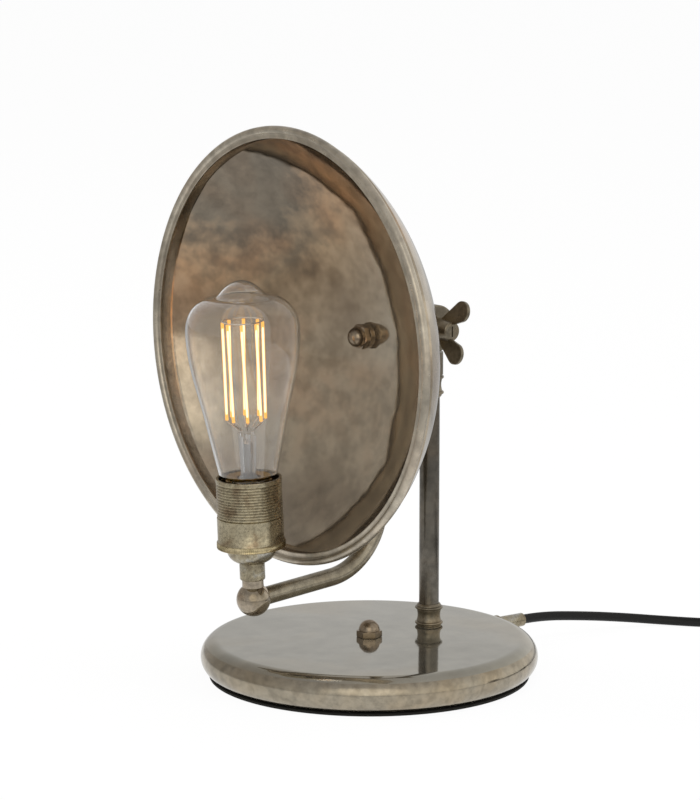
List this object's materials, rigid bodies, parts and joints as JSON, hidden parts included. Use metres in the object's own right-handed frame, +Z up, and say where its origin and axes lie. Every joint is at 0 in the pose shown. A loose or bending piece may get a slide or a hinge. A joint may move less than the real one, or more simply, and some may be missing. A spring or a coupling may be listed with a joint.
{
  "type": "tabletop searchlight lamp",
  "caption": "Table lamp with an open round reflector dish on a tilting knuckle, a bent arm holding a bare filament bulb in front of it, short column, heavy round base and mains cord.",
  "frame": {"origin": "on the underside of the base, at its middle", "axes": "+Z up, the dish faces -Y, the column stands behind the middle on +Y and the cord leaves there, +X is the wing nut's side"},
  "size_m": [0.3663, 0.4277, 0.3231],
  "materials": {
    "foot_felt": "black felt-faced rubber pad",
    "aged_nickel": "spun steel, antique nickel plate, mottled, satin",
    "bronzed_steel": "dark bronzed nickel, semi-gloss tube",
    "bronzed_brass": "dark bronzed turned brass, rubbed lighter at edges",
    "polished_nickel": "polished dark nickel",
    "aged_brass": "aged brass, pewter toned, mottled",
    "bright_brass": "bright lacquered brass",
    "zinc_steel": "zinc plated steel",
    "cast_weight": "as cast, black primer",
    "white_porcelain": "glazed porcelain",
    "fibre": "red-brown vulcanised fibre",
    "black_plastic": "moulded black plastic, fine texture",
    "cord_sheath": "black flexible cord sheath",
    "nickel_pins": "bright nickel plated",
    "black_glass": "black glass insulator",
    "clear_glass": "clear blown glass",
    "glowing_phosphor": "lit yellow phosphor coating"
  },
  "bodies": {
    "root": {"base_pad": "foot_felt", "base_shell": "aged_nickel", "base_plate": "zinc_steel", "plate_screws": "zinc_steel", "base_weight": "cast_weight", "centre_bolt": "zinc_steel", "base_cap_nut": "polished_nickel", "foot_collar": "bronzed_brass", "column_tube": "bronzed_steel", "column_nipple": "zinc_steel", "column_lock_nut": "zinc_steel", "top_collar": "bronzed_brass", "knuckle_lower": "bronzed_brass", "knuckle_friction_washer": "fibre", "pivot_screw": "bronzed_brass", "column_wires": "black_plastic", "terminal_block": "black_plastic", "terminal_screws": "zinc_steel", "cord_clamp": "black_plastic", "clamp_screws": "zinc_steel", "cord_grip": "aged_brass", "cord_grip_nut": "bright_brass", "cord_inner_end": "cord_sheath", "cord_to_switch": "cord_sheath", "switch_lower_shell": "black_plastic", "switch_upper_shell": "black_plastic", "switch_screws": "zinc_steel", "switch_contacts": "bright_brass", "cord_after_switch": "cord_sheath", "cord_coil": "cord_sheath", "cord_to_plug": "cord_sheath", "plug_body": "black_plastic", "plug_pins": "nickel_pins"},
    "head": {"knuckle_upper": "bronzed_brass", "head_hub": "bronzed_brass", "head_nipple": "zinc_steel", "dish": "aged_nickel", "dish_rim": "aged_nickel", "dish_washer": "polished_nickel", "dish_cap_nut": "polished_nickel", "arm_tube": "bronzed_steel", "elbow_ball": "bronzed_brass", "holder_sleeve": "aged_brass", "holder_cap": "aged_brass", "holder_ring": "aged_brass", "holder_shell": "aged_brass", "holder_insert": "white_porcelain", "holder_contact_shell": "bright_brass", "holder_centre_contact": "bright_brass", "head_wires": "black_plastic"},
    "wing_nut": {"wing_nut": "bronzed_brass", "pivot_washer": "bronzed_brass"},
    "bulb": {"bulb_cap": "bright_brass", "bulb_insulator": "black_glass", "bulb_tip_contact": "zinc_steel", "bulb_glass": "clear_glass", "bulb_stem": "clear_glass", "bulb_led_sticks": "glowing_phosphor", "bulb_support_wires": "nickel_pins"},
    "switch_rocker": {"switch_rocker": "black_plastic"}
  },
  "joints": [
    {"name": "head_tilt", "type": "hinge", "parent": "root", "child": "head", "pos_m": [0, 0.04555, 0.1992], "axis": [-1, 0, 0], "range_deg": [-8, 80]},
    {"name": "wing_nut_turn", "type": "hinge", "parent": "root", "child": "wing_nut", "pos_m": [0.01, 0.04555, 0.1992], "axis": [1, 0, 0], "range_deg": [0, 360]},
    {"name": "bulb_turn", "type": "hinge", "parent": "head", "child": "bulb", "pos_m": [0, -0.08476, 0.05752], "axis": [0, -0.0429, 0.9991], "range_deg": [0, 1080]},
    {"name": "rocker_press", "type": "hinge", "parent": "root", "child": "switch_rocker", "pos_m": [0.10641, 0.26465, 0.0095], "axis": [0.5, -0.866, 0], "range_deg": [-14, 0]}
  ]
}
